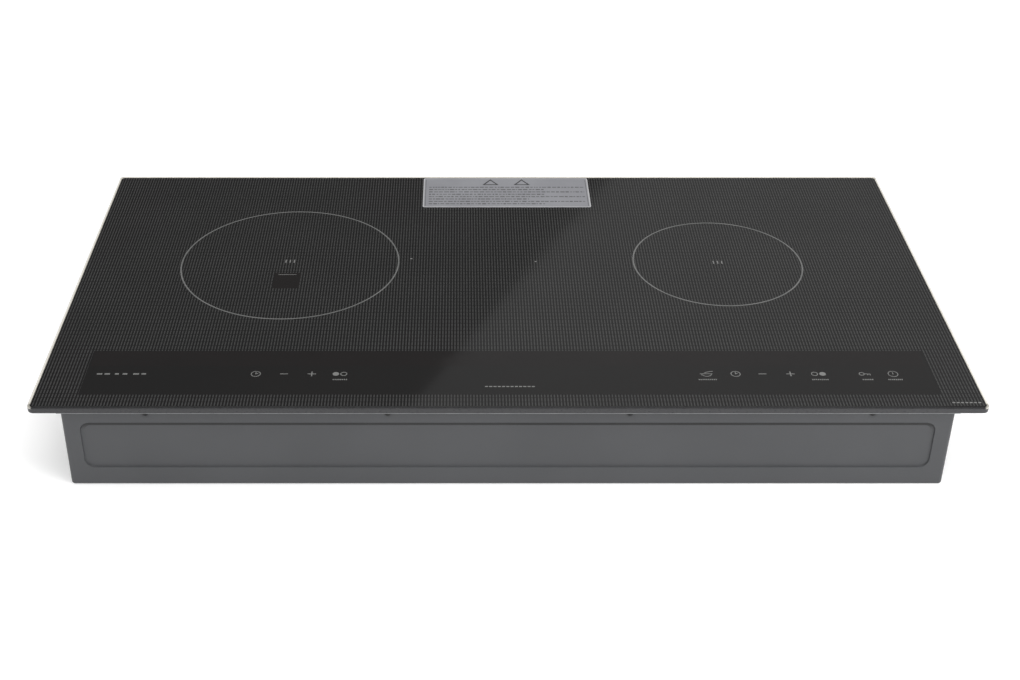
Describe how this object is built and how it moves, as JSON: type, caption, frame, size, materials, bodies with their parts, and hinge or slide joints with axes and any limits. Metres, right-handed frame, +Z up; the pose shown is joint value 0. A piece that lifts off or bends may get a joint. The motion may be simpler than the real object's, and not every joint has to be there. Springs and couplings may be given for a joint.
{
  "type": "induction cooktop",
  "caption": "Two-zone built-in induction cooktop: black patterned glass with slim metal edge trims and a touch control strip, over a shallow grey sheet-metal casing with a sunk front panel.",
  "frame": {"origin": "centre of the base, on the surface that the casing stands on", "axes": "+X to the right along the front, +Y to the rear, +Z up; the controls face -Y"},
  "size_m": [0.8, 0.43, 0.084],
  "materials": {
    "black_glass": "polished black ceramic glass",
    "champagne_aluminium": "satin champagne anodised",
    "dark_trim": "dark grey anodised",
    "black_silicone": "matte",
    "seal_foam": "matte foam",
    "zinc_steel": "zinc plated",
    "grey_paint": "fine matte powder coat",
    "blackened_steel": "black oxide",
    "silver_film": "silver printed film",
    "enamelled_copper": "enamelled copper litz",
    "black_plastic": "moulded",
    "ferrite": "sintered",
    "mica": "pressed mica sheet",
    "aluminium": "mill finish",
    "spring_steel": "bright",
    "white_silicone": "matte",
    "circuit_board": "solder mask",
    "capacitor_yellow": "moulded film capacitor",
    "display_red": "tinted",
    "wire_sleeve": "glass-fibre sleeve"
  },
  "bodies": {
    "chassis": {"cable_gland": "black_plastic", "casing": "grey_paint", "front_screw_1": "blackened_steel", "front_screw_2": "blackened_steel", "front_screw_3": "blackened_steel", "front_screw_4": "blackened_steel", "front_trim": "dark_trim", "glass_adhesive": "black_silicone", "glass_top": "black_glass", "info_label": "silver_film", "infrared_sensor": "black_plastic", "left_bridge_rectifier": "black_plastic", "left_clamp_bracket": "zinc_steel", "left_clamp_screw": "blackened_steel", "left_coil_carrier": "black_plastic", "left_coil_lead": "wire_sleeve", "left_coil_winding": "enamelled_copper", "left_display": "display_red", "left_fan_housing": "black_plastic", "left_ferrites": "ferrite", "left_filter_choke": "enamelled_copper", "left_heatsink": "aluminium", "left_mica_sheet": "mica", "left_power_board": "circuit_board", "left_power_transistor": "black_plastic", "left_resonant_capacitor": "capacitor_yellow", "left_sensor_spring": "spring_steel", "left_shield_tray": "aluminium", "left_trim": "champagne_aluminium", "rear_trim": "champagne_aluminium", "ribbon_cable": "wire_sleeve", "right_bridge_rectifier": "black_plastic", "right_clamp_bracket": "zinc_steel", "right_clamp_screw": "blackened_steel", "right_coil_carrier": "black_plastic", "right_coil_lead": "wire_sleeve", "right_coil_winding": "enamelled_copper", "right_display": "display_red", "right_fan_housing": "black_plastic", "right_ferrites": "ferrite", "right_filter_choke": "enamelled_copper", "right_heatsink": "aluminium", "right_mica_sheet": "mica", "right_power_board": "circuit_board", "right_power_transistor": "black_plastic", "right_resonant_capacitor": "capacitor_yellow", "right_sensor_spring": "spring_steel", "right_shield_tray": "aluminium", "right_trim": "champagne_aluminium", "support_frame": "zinc_steel", "terminal_block": "white_silicone", "touch_board": "circuit_board", "touch_carrier": "black_plastic", "worktop_seal": "seal_foam"},
    "left_fan_rotor": {"left_fan_rotor": "black_plastic"},
    "left_temperature_sensor": {"left_temperature_sensor": "white_silicone"},
    "left_clamp": {"left_clamp": "zinc_steel"},
    "right_fan_rotor": {"right_fan_rotor": "black_plastic"},
    "right_temperature_sensor": {"right_temperature_sensor": "white_silicone"},
    "right_clamp": {"right_clamp": "zinc_steel"}
  },
  "joints": [
    {"name": "left_fan_spin", "type": "hinge", "parent": "chassis", "child": "left_fan_rotor", "pos_m": [-0.048, 0.112, 0.0129], "axis": [0, 0, 1], "continuous": true},
    {"name": "left_sensor_press", "type": "slide", "parent": "chassis", "child": "left_temperature_sensor", "axis": [0, 0, 1], "range_m": [-0.0015, 0], "stiffness_N_per_m": 400, "springref_m": 0.001, "deforming": ["left_sensor_spring"]},
    {"name": "left_clamp_swing", "type": "hinge", "parent": "chassis", "child": "left_clamp", "pos_m": [-0.383, 0, 0.044], "axis": [0, 0, 1], "range_deg": [0, 90]},
    {"name": "right_fan_spin", "type": "hinge", "parent": "chassis", "child": "right_fan_rotor", "pos_m": [0.054, 0.112, 0.0129], "axis": [0, 0, 1], "continuous": true},
    {"name": "right_sensor_press", "type": "slide", "parent": "chassis", "child": "right_temperature_sensor", "axis": [0, 0, 1], "range_m": [-0.0015, 0], "stiffness_N_per_m": 400, "springref_m": 0.001, "deforming": ["right_sensor_spring"]},
    {"name": "right_clamp_swing", "type": "hinge", "parent": "chassis", "child": "right_clamp", "pos_m": [0.383, 0, 0.044], "axis": [0, 0, 1], "range_deg": [-90, 0]}
  ]
}
